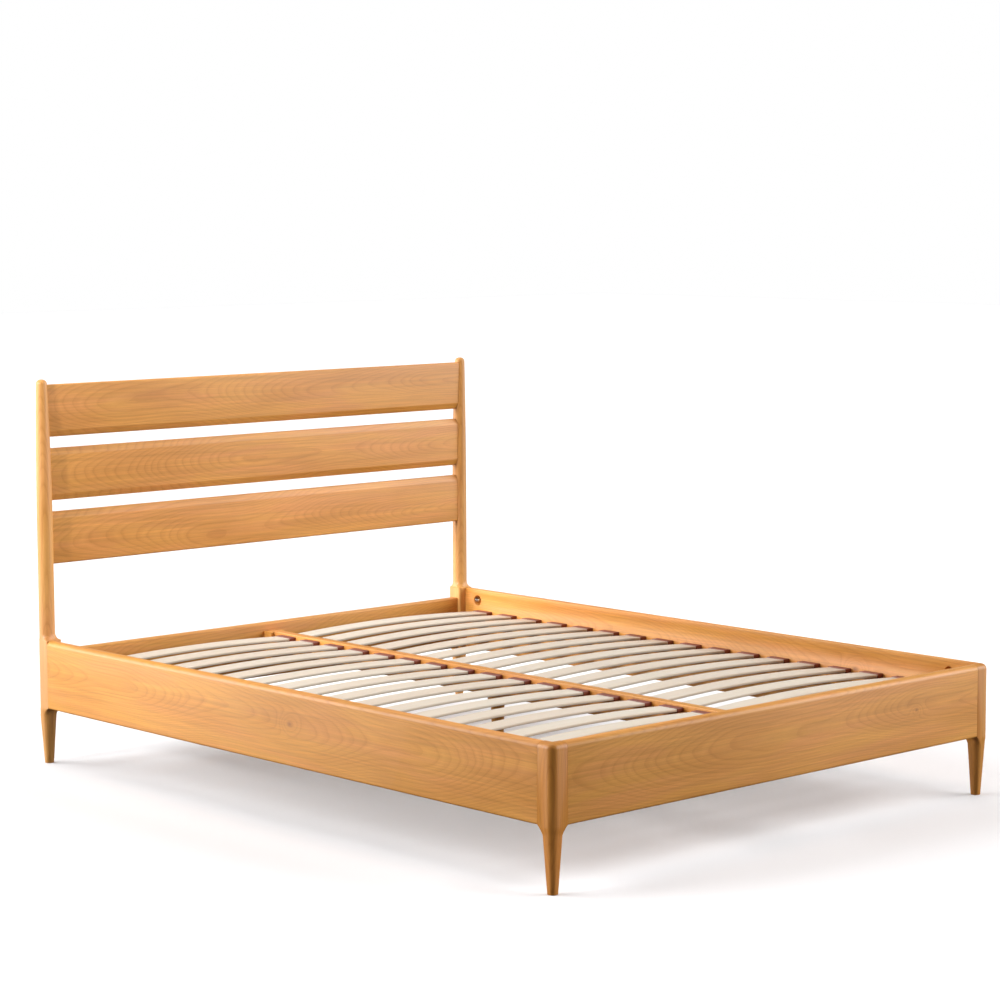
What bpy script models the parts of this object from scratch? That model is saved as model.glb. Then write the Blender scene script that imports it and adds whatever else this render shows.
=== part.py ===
"""Wooden bed frame for a 1530 x 2030 mm mattress: posts, rails, plank headboard and sprung slats.

X runs across the bed, +Y towards the headboard, +Z up.
The origin is on the floor, under the centre of the frame.
"""
import math

import bmesh
import bpy

# overall size
WIDTH = 1.610
LENGTH = 2.124
HALF_W = WIDTH / 2
HALF_L = LENGTH / 2
GAP = 0.0003                    # clearance wherever two pieces touch

# side and foot rails
RAIL_BOTTOM = 0.161
RAIL_TOP = 0.355
RAIL_T = 0.025
RAIL_TOP_ROUND = 0.014          # outer top edge
RAIL_INNER_ROUND = 0.004
RAIL_LOW_ROUND = 0.006

# posts and tapered legs
BLOCK = 0.050                   # square block at rail height
HEAD_BLOCK_Y = 0.058            # length of a headboard post's block along the side rail
CORNER_ROUND = 0.020            # outer upright corner of a foot post
HEAD_CORNER_ROUND = 0.027       # outer back corner of a headboard post
POST_SOFT = 0.006               # inner upright edges of a headboard post
FOOT_POST_SOFT = 0.003          # inner upright edges of a foot post
LEG_CENTRE = 0.0232             # leg axis, from the outer faces
LEG_TOP = 0.0425                # side of the square leg just below the flare
LEG_FLOOR = 0.0238
LEG_ROUND_SHARE = 0.42          # corner radius of a leg, as a share of its side
LEG_SHARES = (0.5, 1.0)         # sections between floor and flare
FLARE_SHARES = (0.3, 0.55, 0.8, 1.0)
FLARE_H = 0.023                 # height of the hollow between leg and block
FOOT_CHAMFER = 0.0015
NOTCH_Z = 0.304                 # above this the foot post is only as thick as the rails

# round headboard posts above the rails
POST_R = 0.0218
POST_TOP_R = 0.0148
POST_TAPER_Z = 0.620            # straight below this height
POST_TAPER_POWER = 2.4
POST_TOP_Z = 1.093
POST_AXIS_X = 0.0218            # axis from the outer face, at the rails and at the top
POST_AXIS_TOP_X = 0.0188
POST_AXIS_Y = 0.0278            # axis from the back face
POST_AXIS_TOP_Y = 0.0295
POST_FILLET = 0.020             # hollow between post and block
POST_DOME_H = 0.013
ROUND_SHARE = 0.985             # corner radius of a round section, as a share of its half width
DOME_SHARE = 0.9                # how far the dome draws in, as a share of the top radius

# headboard planks
PLANK_H = 0.1475
PLANK_PITCH = 0.180
PLANK_T = 0.024
PLANK_FIRST_Z = 0.5700          # underside of the lowest plank
PLANK_BACK = 0.016              # back face, measured from the back of the bed
PLANK_BEVEL_H = 0.018
PLANK_BEVEL_D = 0.008
PLANK_SOFT = 0.003
HOUSING = 0.014                 # depth that a plank enters each post

# head rail
HEAD_RAIL_TOP = 0.323
HEAD_RAIL_T = 0.028
HEAD_RAIL_BACK = 0.020
TENON_LENGTH = 0.014
TENON_T = 0.011
TENON_SHOULDER = 0.030          # wood left above and below a tenon

# centre rail, its sockets and its leg
CENTRE_RAIL_T = 0.028
CENTRE_RAIL_TOP = 0.301
CENTRE_RAIL_H = 0.070
SOCKET_CHEEK = 0.0135
SOCKET_DEPTH = 0.034
SOCKET_FLOOR = 0.018
SOCKET_BELOW_RAIL = 0.001       # the cheeks end this far below the top of the rail
CENTRE_LEG_R = 0.019
CENTRE_LEG_FOOT_R = 0.013
CENTRE_LEG_COLLAR_R = 0.028
CENTRE_LEG_COLLAR_H = 0.012
CENTRE_LEG_FLARE_H = 0.004

# sprung slats and the caps that hold their ends
SLATS = 16
SLAT_PITCH = 0.114
SLAT_WIDTH = 0.063
SLAT_T = 0.008
SLAT_FIRST_Y = HALF_L - 0.184   # foot-side edge of the slat next to the headboard
SLAT_CROWN = 0.0115
SLAT_TOP_SIDE = 0.2870
SLAT_TOP_CENTRE = 0.2930
SLAT_STEPS = 12
CAP_LENGTH = 0.023
CAP_WALL = 0.0015
WEB_WIDTH = 0.008
WEB_T = 0.0015
LEDGER_W = 0.028
LEDGER_H = 0.034
LEDGER_END = 0.101              # a ledger stops this far short of each end of the bed

# bed bolts in their round pockets
POCKET_R = 0.0165
POCKET_DEPTH = 0.019
POCKET_Z = 0.319
POCKET_FROM_END = 0.116         # pocket centre, from the end of the bed
BOLT_R = 0.004
BOLT_HOLE_R = 0.0048
BOLT_FROM_END = 0.020           # bolt tip, from the end of the bed
BOLT_X = 0.0145                 # bolt axis, from the outer face of the rail
WASHER_R = 0.008
WASHER_T = 0.002
HEX_ACROSS = 0.013
HEX_T = 0.0055
CUT_OVER = 0.010                # how far a cutter reaches past the face it opens

# facets of the rounded shapes
ROUND_STEPS = 4
EDGE_STEPS = 2
TOP_EDGE_STEPS = 5
LOW_EDGE_STEPS = 3
POST_STEPS = 8
BOLT_SIDES = 12
WASHER_SIDES = 20
HEX_SIDES = 6
POCKET_SIDES = 24
CENTRE_LEG_SIDES = 20


def make_material(name, colour, roughness, metallic=0.0):
    material = bpy.data.materials.new(name)
    material.use_nodes = True
    shader = material.node_tree.nodes["Principled BSDF"]
    shader.inputs["Base Color"].default_value = (*colour, 1.0)
    shader.inputs["Roughness"].default_value = roughness
    shader.inputs["Metallic"].default_value = metallic
    return material


def new_object(name, loops, material):
    """A body skinned over loops of points that all have the same count."""
    bm = bmesh.new()
    rings = [[bm.verts.new(point) for point in loop] for loop in loops]
    for low, high in zip(rings, rings[1:]):
        for i in range(len(low)):
            j = (i + 1) % len(low)
            bm.faces.new((low[i], low[j], high[j], high[i]))
    bm.faces.new(list(reversed(rings[0])))
    bm.faces.new(rings[-1])
    bmesh.ops.recalc_face_normals(bm, faces=bm.faces)
    return object_from(name, bm, material)


def object_from(name, bm, material):
    mesh = bpy.data.meshes.new(name)
    bm.to_mesh(mesh)
    bm.free()
    mesh.materials.append(material)
    obj = bpy.data.objects.new(name, mesh)
    bpy.context.scene.collection.objects.link(obj)
    return obj


def add_box(bm, low, high):
    """Adds a closed box between two opposite corners."""
    corners = [(x, y, z) for x in (low[0], high[0]) for y in (low[1], high[1]) for z in (low[2], high[2])]
    verts = [bm.verts.new(corner) for corner in corners]
    for face in ((0, 1, 3, 2), (4, 6, 7, 5), (0, 4, 5, 1), (2, 3, 7, 6), (0, 2, 6, 4), (1, 5, 7, 3)):
        bm.faces.new([verts[i] for i in face])


def boxes_object(name, boxes, material):
    bm = bmesh.new()
    for low, high in boxes:
        add_box(bm, low, high)
    bmesh.ops.recalc_face_normals(bm, faces=bm.faces)
    return object_from(name, bm, material)


def combine(target, tool, operation):
    """Cuts tool from target, or joins it on, and hides tool."""
    tool.hide_render = True
    tool.display_type = "WIRE"
    modifier = target.modifiers.new(operation.lower(), "BOOLEAN")
    modifier.operation = operation
    modifier.solver = "EXACT"
    modifier.object = tool


def arc(centre, radius, start, end, steps):
    """Points of an arc, angles in degrees."""
    points = []
    for i in range(steps + 1):
        angle = math.radians(start + (end - start) * i / steps)
        points.append((centre[0] + radius * math.cos(angle), centre[1] + radius * math.sin(angle)))
    return points


def rounded_rect(x0, x1, y0, y1, radii, steps):
    """Outline of a rectangle; radii belong to the corners x0y0, x1y0, x1y1 and x0y1."""
    signs = ((x0, y0, 1, 1, 180), (x1, y0, -1, 1, 270), (x1, y1, -1, -1, 0), (x0, y1, 1, -1, 90))
    outline = []
    for (x, y, sx, sy, start), radius in zip(signs, radii):
        outline += arc((x + sx * radius, y + sy * radius), radius, start, start + 90, steps)
    return outline


def cylinder_along(axis, centre, radius, start, end, steps):
    """Loops of a cylinder whose axis is "X", "Y" or "Z", between two places on that axis."""
    loops = []
    for place in (start, end):
        ring = []
        for i in range(steps):
            angle = 2 * math.pi * (i + 0.5) / steps
            a = centre[0] + radius * math.cos(angle)
            b = centre[1] + radius * math.sin(angle)
            ring.append({"X": (place, a, b), "Y": (a, place, b), "Z": (a, b, place)}[axis])
        loops.append(ring)
    return loops


def mirrored(loops, mirror_x):
    """The same loops on the other side of the bed when mirror_x is -1."""
    return [[(mirror_x * x, y, z) for x, y, z in loop] for loop in loops]


def leg_side(z):
    """Side of the square leg at a height below the flare."""
    return LEG_FLOOR + (LEG_TOP - LEG_FLOOR) * z / (RAIL_BOTTOM - FLARE_H)


def leg_loops(end_y, towards, block_y, block_radii):
    """Sections of one leg, floor to block, on the -X side; towards is +1 at the foot end."""
    loops = []
    flare_z = RAIL_BOTTOM - FLARE_H
    stations = [(0.0, leg_side(0) - 2 * FOOT_CHAMFER, 0.0), (FOOT_CHAMFER, leg_side(0), 0.0)]
    stations += [(flare_z * share, leg_side(flare_z * share), 0.0) for share in LEG_SHARES]
    for share in FLARE_SHARES:
        stations.append((flare_z + FLARE_H * share, LEG_TOP, 1 - math.sqrt(1 - share * share)))
    for z, side, spread in stations:
        height_blend = max(0.0, (z - flare_z) / FLARE_H)
        leg_round = LEG_ROUND_SHARE * side
        radii = [leg_round * (1 - height_blend) + radius * height_blend for radius in block_radii]
        near = (LEG_CENTRE - side / 2) * (1 - spread)
        far_x = (LEG_CENTRE + side / 2) * (1 - spread) + BLOCK * spread
        far_y = (LEG_CENTRE + side / 2) * (1 - spread) + block_y * spread
        ys = sorted((end_y + towards * near, end_y + towards * far_y))
        outline = rounded_rect(-HALF_W + near, -HALF_W + far_x, ys[0], ys[1], radii, ROUND_STEPS)
        loops.append([(x, y, z) for x, y in outline])
    return loops


def foot_post(name, mirror_x, material):
    """Foot corner post: tapered leg, square block, and a notch that leaves room for the mattress."""
    radii = (CORNER_ROUND, FOOT_POST_SOFT, FOOT_POST_SOFT, FOOT_POST_SOFT)
    loops = leg_loops(-HALF_L, 1, BLOCK, radii)
    for i in range(TOP_EDGE_STEPS + 1):
        angle = math.pi / 2 * i / TOP_EDGE_STEPS
        inset = RAIL_TOP_ROUND * (1 - math.cos(angle))
        z = RAIL_TOP - RAIL_TOP_ROUND * (1 - math.sin(angle))
        top_radii = (CORNER_ROUND - inset, *radii[1:])
        outline = rounded_rect(-HALF_W + inset, -HALF_W + BLOCK, -HALF_L + inset, -HALF_L + BLOCK, top_radii,
                               ROUND_STEPS)
        loops.append([(x, y, z) for x, y in outline])
    post = new_object(name, mirrored(loops, mirror_x), material)
    low = (-HALF_W + RAIL_T, -HALF_L + RAIL_T, NOTCH_Z)
    high = (-HALF_W + BLOCK + CUT_OVER, -HALF_L + BLOCK + CUT_OVER, RAIL_TOP + CUT_OVER)
    cut_box(post, low, high, mirror_x)
    return post


def cut_box(target, low, high, mirror_x=1):
    corners = sorted((mirror_x * low[0], mirror_x * high[0]))
    tool = boxes_object("tool", [((corners[0], low[1], low[2]), (corners[1], high[1], high[2]))], steel)
    combine(target, tool, "DIFFERENCE")


def post_axis(z):
    """Distances of a headboard post's axis from the outer and back faces, and its radius."""
    taper = max(0.0, (z - POST_TAPER_Z) / (POST_TOP_Z - POST_TAPER_Z)) ** POST_TAPER_POWER
    return (POST_AXIS_X + (POST_AXIS_TOP_X - POST_AXIS_X) * taper,
            POST_AXIS_Y + (POST_AXIS_TOP_Y - POST_AXIS_Y) * taper,
            POST_R + (POST_TOP_R - POST_R) * taper)


def post_section(z, radius):
    """Nearly round outline of a headboard post on the -X side."""
    axis_x, axis_y, _ = post_axis(z)
    x, y = -HALF_W + axis_x, HALF_L - axis_y
    corners = (ROUND_SHARE * radius,) * 4
    outline = rounded_rect(x - radius, x + radius, y - radius, y + radius, corners, ROUND_STEPS)
    return [(px, py, z) for px, py in outline]


def head_post(name, mirror_x, material):
    """Headboard post in one length: leg, block, curved hollow and the round upper part."""
    radii = (POST_SOFT, POST_SOFT, POST_SOFT, HEAD_CORNER_ROUND)
    loops = leg_loops(HALF_L, -1, HEAD_BLOCK_Y, radii)
    block = rounded_rect(-HALF_W, -HALF_W + BLOCK, HALF_L - HEAD_BLOCK_Y, HALF_L, radii, ROUND_STEPS)
    for i in range(TOP_EDGE_STEPS + 1):
        angle = math.pi / 2 * i / TOP_EDGE_STEPS
        z = RAIL_TOP + POST_FILLET * (1 - math.cos(angle))
        blend = math.sin(angle)
        section = post_section(z, POST_R)
        loops.append([(x0 + (x1 - x0) * blend, y0 + (y1 - y0) * blend, z)
                      for (x0, y0), (x1, y1, _) in zip(block, section)])
    start_z = RAIL_TOP + POST_FILLET
    dome_z = POST_TOP_Z - POST_DOME_H
    for i in range(1, POST_STEPS + 1):
        z = start_z + (dome_z - start_z) * i / POST_STEPS
        loops.append(post_section(z, post_axis(z)[2]))
    for i in range(1, ROUND_STEPS + 1):
        angle = math.pi / 2 * i / ROUND_STEPS
        z = dome_z + POST_DOME_H * math.sin(angle)
        loops.append(post_section(z, post_axis(dome_z)[2] * (1 - DOME_SHARE * (1 - math.cos(angle)))))
    return new_object(name, mirrored(loops, mirror_x), material)


def extrude_x(name, profile, x0, x1, material):
    """A bar along X with a profile given as (y, z) points."""
    return new_object(name, [[(x, y, z) for y, z in profile] for x in (x0, x1)], material)


def extrude_y(name, profile, y0, y1, material):
    """A bar along Y with a profile given as (x, z) points."""
    return new_object(name, [[(x, y, z) for x, z in profile] for y in (y0, y1)], material)


def rail_profile():
    """Rail section: distance in from the outer face, and height."""
    profile = arc((RAIL_LOW_ROUND, RAIL_BOTTOM + RAIL_LOW_ROUND), RAIL_LOW_ROUND, 270, 180, LOW_EDGE_STEPS)
    profile += arc((RAIL_TOP_ROUND, RAIL_TOP - RAIL_TOP_ROUND), RAIL_TOP_ROUND, 180, 90, TOP_EDGE_STEPS)
    inner = RAIL_T - RAIL_INNER_ROUND
    profile += arc((inner, RAIL_TOP - RAIL_INNER_ROUND), RAIL_INNER_ROUND, 90, 0, EDGE_STEPS)
    profile += [(RAIL_T, RAIL_BOTTOM)]
    return profile


def plank_profile(z0, bevel_low, bevel_high, grow=0.0):
    """Plank section as (y, z) points, grown on every side when it is used to cut a housing."""
    front = HALF_L - PLANK_BACK - PLANK_T - grow
    back = HALF_L - PLANK_BACK + grow
    low = z0 - grow
    high = z0 + PLANK_H + grow
    low_d, low_h = (PLANK_BEVEL_D, PLANK_BEVEL_H) if bevel_low else (PLANK_SOFT, PLANK_SOFT)
    high_d, high_h = (PLANK_BEVEL_D, PLANK_BEVEL_H) if bevel_high else (PLANK_SOFT, PLANK_SOFT)
    return [(front + low_d, low), (back - PLANK_SOFT, low), (back, low + PLANK_SOFT),
            (back, high - PLANK_SOFT), (back - PLANK_SOFT, high), (front + high_d, high),
            (front, high - high_h), (front, low + low_h)]


def housing_end(z):
    """Distance from the middle of the bed to the end of a plank, inside its housing."""
    axis_x, _, radius = post_axis(z)
    return HALF_W - axis_x - radius + HOUSING


def tenoned_bar(name, body_loops, tenon_boxes, material):
    """A bar with a stub tenon on each end."""
    bar = new_object(name, body_loops, material)
    combine(bar, boxes_object("tool", tenon_boxes, material), "UNION")
    return bar


def slat_loops(outer_x, inner_x, y0, y1, mirror_x):
    """A bowed slat; its ends lie flat inside the caps."""
    flat = CAP_LENGTH - CAP_WALL
    stations = [(outer_x, SLAT_TOP_SIDE)]
    for i in range(SLAT_STEPS + 1):
        share = i / SLAT_STEPS
        x = outer_x + flat + (inner_x - outer_x - 2 * flat) * share
        rise = SLAT_CROWN * 4 * share * (1 - share)
        stations.append((x, SLAT_TOP_SIDE + (SLAT_TOP_CENTRE - SLAT_TOP_SIDE) * share + rise))
    stations.append((inner_x, SLAT_TOP_CENTRE))
    loop = [(x, z) for x, z in stations] + [(x, z - SLAT_T) for x, z in reversed(stations)]
    return [[(mirror_x * x, y, z) for x, z in loop] for y in (y0, y1)]


def cap_boxes(x_wall, x_mouth, slat_top):
    """Outer boxes and pockets of the caps in one row, between the wall and the open mouth."""
    low = slat_top - SLAT_T - GAP - CAP_WALL
    high = slat_top + GAP + CAP_WALL
    into = math.copysign(1, x_mouth - x_wall)
    outers, pockets = [], []
    for i in range(SLATS):
        y0 = SLAT_FIRST_Y - SLAT_PITCH * i
        y1 = y0 + SLAT_WIDTH
        side = GAP + CAP_WALL
        xs = sorted((x_wall, x_mouth))
        outers.append(((xs[0], y0 - side, low), (xs[1], y1 + side, high)))
        xs = sorted((x_wall + into * CAP_WALL, x_mouth + into * CUT_OVER))
        pockets.append(((xs[0], y0 - GAP, low + CAP_WALL), (xs[1], y1 + GAP, high - CAP_WALL)))
    return outers, pockets


def cap_row(name, x_wall, x_mouth, slat_top, material):
    """Sixteen slat caps on one ledger, moulded on a thin strip."""
    outers, pockets = cap_boxes(x_wall, x_mouth, slat_top)
    into = math.copysign(1, x_mouth - x_wall)
    web_x = sorted((x_wall, x_wall + into * WEB_WIDTH))
    web_z = outers[0][0][2]
    last_y = SLAT_FIRST_Y - SLAT_PITCH * (SLATS - 1)
    web = ((web_x[0], last_y, web_z), (web_x[1], SLAT_FIRST_Y + SLAT_WIDTH, web_z + WEB_T))
    row = boxes_object(name, [web], material)
    combine(row, boxes_object("tool", outers, material), "UNION")
    combine(row, boxes_object("tool", pockets, material), "DIFFERENCE")
    return row


for old in list(bpy.data.objects):
    bpy.data.objects.remove(old)

oak = make_material("oak", (0.60, 0.34, 0.13), 0.45)
birch = make_material("birch", (0.80, 0.72, 0.60), 0.55)
cap_plastic = make_material("cap_plastic", (0.20, 0.055, 0.035), 0.50)
steel = make_material("steel", (0.45, 0.44, 0.42), 0.35, 1.0)

SIDES = (("left", 1), ("right", -1))

# foot posts and headboard posts
foot_posts = {side: foot_post(f"foot_post_{side}", mirror, oak) for side, mirror in SIDES}
head_posts = {side: head_post(f"headboard_post_{side}", mirror, oak) for side, mirror in SIDES}

# side rails, tenoned into the posts and bolted to them
tenon_z0 = RAIL_BOTTOM + TENON_SHOULDER
tenon_z1 = NOTCH_Z - TENON_SHOULDER
tenon_x0 = (RAIL_T - TENON_T) / 2
tenon_x1 = tenon_x0 + TENON_T
foot_joint_y = HALF_L - BLOCK
head_joint_y = HALF_L - HEAD_BLOCK_Y
for side, mirror in SIDES:
    profile = [(-HALF_W + x, z) for x, z in rail_profile()]
    body = [[(x, y, z) for x, z in profile] for y in (-foot_joint_y + GAP, head_joint_y - GAP)]
    body = mirrored(body, mirror)
    ends = ((-1, "foot", foot_joint_y, foot_posts[side]), (1, "head", head_joint_y, head_posts[side]))
    tenons = []
    for end, _, joint_y, _ in ends:
        ys = sorted((end * (joint_y - 2 * CUT_OVER), end * (joint_y + TENON_LENGTH - GAP)))
        xs = sorted((mirror * (-HALF_W + tenon_x0), mirror * (-HALF_W + tenon_x1)))
        tenons.append(((xs[0], ys[0], tenon_z0), (xs[1], ys[1], tenon_z1)))
    rail = tenoned_bar(f"side_rail_{side}", body, tenons, oak)
    inner_face = mirror * (-HALF_W + RAIL_T)
    hole_x = mirror * (-HALF_W + BOLT_X)
    centre = (hole_x, POCKET_Z)
    for end, end_name, joint_y, post in ends:
        pocket_y = end * (HALF_L - POCKET_FROM_END)
        hole_end = end * (HALF_L - BOLT_FROM_END)
        pocket = cylinder_along("X", (pocket_y, POCKET_Z), POCKET_R, inner_face - mirror * POCKET_DEPTH,
                                inner_face + mirror * CUT_OVER, POCKET_SIDES)
        combine(rail, new_object("tool", pocket, oak), "DIFFERENCE")
        hole = cylinder_along("Y", centre, BOLT_HOLE_R, pocket_y, hole_end, BOLT_SIDES)
        combine(rail, new_object("tool", hole, oak), "DIFFERENCE")
        hole_start = end * (joint_y - CUT_OVER)
        post_hole = cylinder_along("Y", centre, BOLT_R + GAP, hole_start, hole_end, BOLT_SIDES)
        combine(post, new_object("tool", post_hole, oak), "DIFFERENCE")
        ys = sorted((end * (joint_y - CUT_OVER), end * (joint_y + TENON_LENGTH)))
        cut_box(post, (-HALF_W + tenon_x0 - GAP, ys[0], tenon_z0 - GAP),
                (-HALF_W + tenon_x1 + GAP, ys[1], tenon_z1 + GAP), mirror)

        # bed bolt: hexagon head and washer in the pocket, shank into the post
        seat_y = pocket_y + end * (math.sqrt(POCKET_R ** 2 - WASHER_R ** 2) - GAP)
        head_y = seat_y - end * (WASHER_T + HEX_T)
        shank = cylinder_along("Y", centre, BOLT_R, head_y, hole_end - end * 2 * GAP, BOLT_SIDES)
        bolt = new_object(f"bed_bolt_{end_name}_{side}", shank, steel)
        washer = cylinder_along("Y", centre, WASHER_R, seat_y - end * WASHER_T, seat_y, WASHER_SIDES)
        combine(bolt, new_object("tool", washer, steel), "UNION")
        hexagon = cylinder_along("Y", centre, HEX_ACROSS / math.sqrt(3), head_y, seat_y - end * WASHER_T / 2,
                                 HEX_SIDES)
        combine(bolt, new_object("tool", hexagon, steel), "UNION")

# foot rail, tenoned into the foot posts
joint_x = HALF_W - BLOCK
profile = [(-HALF_L + y, z) for y, z in rail_profile()]
body = [[(x, y, z) for y, z in profile] for x in (-joint_x + GAP, joint_x - GAP)]
tenons = []
for end in (-1, 1):
    xs = sorted((end * (joint_x - 2 * CUT_OVER), end * (joint_x + TENON_LENGTH - GAP)))
    tenons.append(((xs[0], -HALF_L + tenon_x0, tenon_z0), (xs[1], -HALF_L + tenon_x1, tenon_z1)))
tenoned_bar("foot_rail", body, tenons, oak)
for side, mirror in SIDES:
    cut_box(foot_posts[side],
            (-joint_x - TENON_LENGTH, -HALF_L + tenon_x0 - GAP, tenon_z0 - GAP),
            (-joint_x + CUT_OVER, -HALF_L + tenon_x1 + GAP, tenon_z1 + GAP), mirror)

# head rail, between the headboard posts
head_y1 = HALF_L - HEAD_RAIL_BACK
head_y0 = head_y1 - HEAD_RAIL_T
profile = rounded_rect(head_y0, head_y1, RAIL_BOTTOM, HEAD_RAIL_TOP, (RAIL_INNER_ROUND,) * 4, EDGE_STEPS)
body = [[(x, y, z) for y, z in profile] for x in (-joint_x + GAP, joint_x - GAP)]
tenon_y0 = (head_y0 + head_y1 - TENON_T) / 2
tenons = []
for end in (-1, 1):
    xs = sorted((end * (joint_x - 2 * CUT_OVER), end * (joint_x + TENON_LENGTH - GAP)))
    tenons.append(((xs[0], tenon_y0, tenon_z0), (xs[1], tenon_y0 + TENON_T, tenon_z1)))
tenoned_bar("head_rail", body, tenons, oak)
for side, mirror in SIDES:
    cut_box(head_posts[side],
            (-joint_x - TENON_LENGTH, tenon_y0 - GAP, tenon_z0 - GAP),
            (-joint_x + CUT_OVER, tenon_y0 + TENON_T + GAP, tenon_z1 + GAP), mirror)

# headboard planks; the bevels face the two open slots between them
planks = (("bottom", False, True), ("middle", True, True), ("top", True, False))
for i, (name, bevel_low, bevel_high) in enumerate(planks):
    z0 = PLANK_FIRST_Z + PLANK_PITCH * i
    reach = housing_end(z0 + PLANK_H)
    profile = plank_profile(z0, bevel_low, bevel_high)
    extrude_x(f"headboard_plank_{name}", profile, -reach + GAP, reach - GAP, oak)
    for side, mirror in SIDES:
        tool = extrude_x("tool", plank_profile(z0, bevel_low, bevel_high, GAP),
                         mirror * -reach, mirror * (-reach + BLOCK), oak)
        combine(head_posts[side], tool, "DIFFERENCE")

# centre rail in a socket at each end, and the leg under its middle
socket_top = CENTRE_RAIL_TOP - SOCKET_BELOW_RAIL
rail_z0 = CENTRE_RAIL_TOP - CENTRE_RAIL_H
foot_inner = -HALF_L + RAIL_T + GAP
head_inner = head_y0 - GAP
half_t = CENTRE_RAIL_T / 2
profile = rounded_rect(-half_t, half_t, rail_z0, CENTRE_RAIL_TOP, (RAIL_INNER_ROUND / 2,) * 4, EDGE_STEPS)
extrude_y("centre_rail", profile, foot_inner + GAP, head_inner - GAP, oak)
sockets = (("foot", foot_inner, foot_inner + SOCKET_DEPTH), ("head", head_inner - SOCKET_DEPTH, head_inner))
for name, y0, y1 in sockets:
    reach = half_t + SOCKET_CHEEK
    slot = half_t + GAP
    floor_z = rail_z0 - GAP
    profile = [(-reach, floor_z - SOCKET_FLOOR), (reach, floor_z - SOCKET_FLOOR), (reach, socket_top),
               (slot, socket_top), (slot, floor_z), (-slot, floor_z), (-slot, socket_top),
               (-reach, socket_top)]
    extrude_y(f"centre_rail_socket_{name}", profile, y0, y1, oak)

leg_top = rail_z0 - GAP
collar_z = leg_top - CENTRE_LEG_COLLAR_H
stations = ((0.0, CENTRE_LEG_FOOT_R - FOOT_CHAMFER), (FOOT_CHAMFER, CENTRE_LEG_FOOT_R),
            (collar_z - CENTRE_LEG_FLARE_H, CENTRE_LEG_R), (collar_z, CENTRE_LEG_COLLAR_R),
            (leg_top, CENTRE_LEG_COLLAR_R))
loops = [cylinder_along("Z", (0.0, 0.0), radius, z, z, CENTRE_LEG_SIDES)[0] for z, radius in stations]
new_object("centre_leg", loops, oak)

# ledgers that carry the caps
cap_low_side = SLAT_TOP_SIDE - SLAT_T - GAP - CAP_WALL
cap_low_centre = SLAT_TOP_CENTRE - SLAT_T - GAP - CAP_WALL
ledger_y = HALF_L - LEDGER_END
for side, mirror in SIDES:
    outer = mirror * (-HALF_W + RAIL_T + GAP)
    top = cap_low_side - GAP
    xs = sorted((outer, outer + mirror * LEDGER_W))
    boxes_object(f"side_ledger_{side}", [((xs[0], -ledger_y, top - LEDGER_H), (xs[1], ledger_y, top))], oak)
    inner = mirror * -(half_t + GAP)
    top = cap_low_centre - GAP
    xs = sorted((inner, inner - mirror * LEDGER_W))
    boxes_object(f"centre_ledger_{side}", [((xs[0], -ledger_y, top - LEDGER_H), (xs[1], ledger_y, top))], oak)

    # caps and slats of this half of the bed
    wall = mirror * (-HALF_W + RAIL_T + GAP)
    cap_row(f"slat_caps_side_{side}", wall, wall + mirror * CAP_LENGTH, SLAT_TOP_SIDE, cap_plastic)
    cap_row(f"slat_caps_centre_{side}", inner, inner - mirror * CAP_LENGTH, SLAT_TOP_CENTRE, cap_plastic)
    outer_x = -HALF_W + RAIL_T + GAP + CAP_WALL + GAP
    inner_x = -half_t - GAP - CAP_WALL - GAP
    for i in range(SLATS):
        y0 = SLAT_FIRST_Y - SLAT_PITCH * i
        loops = slat_loops(outer_x, inner_x, y0, y0 + SLAT_WIDTH, mirror)
        new_object(f"slat_{side}_{i + 1:02d}", loops, birch)
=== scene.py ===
import math

import bmesh
import bpy
from mathutils import Matrix, Vector


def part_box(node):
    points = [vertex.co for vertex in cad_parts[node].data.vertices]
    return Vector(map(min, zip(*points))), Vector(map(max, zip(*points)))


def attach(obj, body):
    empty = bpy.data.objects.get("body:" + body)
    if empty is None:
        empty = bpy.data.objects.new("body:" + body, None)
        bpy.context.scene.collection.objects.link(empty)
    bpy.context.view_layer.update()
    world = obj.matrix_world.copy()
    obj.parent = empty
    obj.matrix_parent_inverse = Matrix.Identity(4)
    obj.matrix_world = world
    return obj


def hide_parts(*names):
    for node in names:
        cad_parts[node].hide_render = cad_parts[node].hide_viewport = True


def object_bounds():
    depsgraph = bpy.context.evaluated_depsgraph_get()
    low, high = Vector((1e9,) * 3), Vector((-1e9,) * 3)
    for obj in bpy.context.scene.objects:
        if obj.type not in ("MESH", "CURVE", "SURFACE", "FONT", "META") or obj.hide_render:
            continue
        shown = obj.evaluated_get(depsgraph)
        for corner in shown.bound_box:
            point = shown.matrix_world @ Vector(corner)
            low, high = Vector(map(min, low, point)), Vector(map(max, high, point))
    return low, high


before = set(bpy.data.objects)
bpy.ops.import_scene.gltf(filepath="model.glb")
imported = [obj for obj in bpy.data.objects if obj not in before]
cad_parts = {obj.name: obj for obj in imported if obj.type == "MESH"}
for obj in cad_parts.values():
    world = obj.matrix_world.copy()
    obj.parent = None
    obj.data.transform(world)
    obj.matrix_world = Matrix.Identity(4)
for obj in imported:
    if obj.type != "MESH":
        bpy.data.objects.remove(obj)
CAD_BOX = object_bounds()


def plain(corners):
    """The low and high corner of a box, as plain numbers."""
    return [[float(v) for v in corner] for corner in corners]


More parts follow.
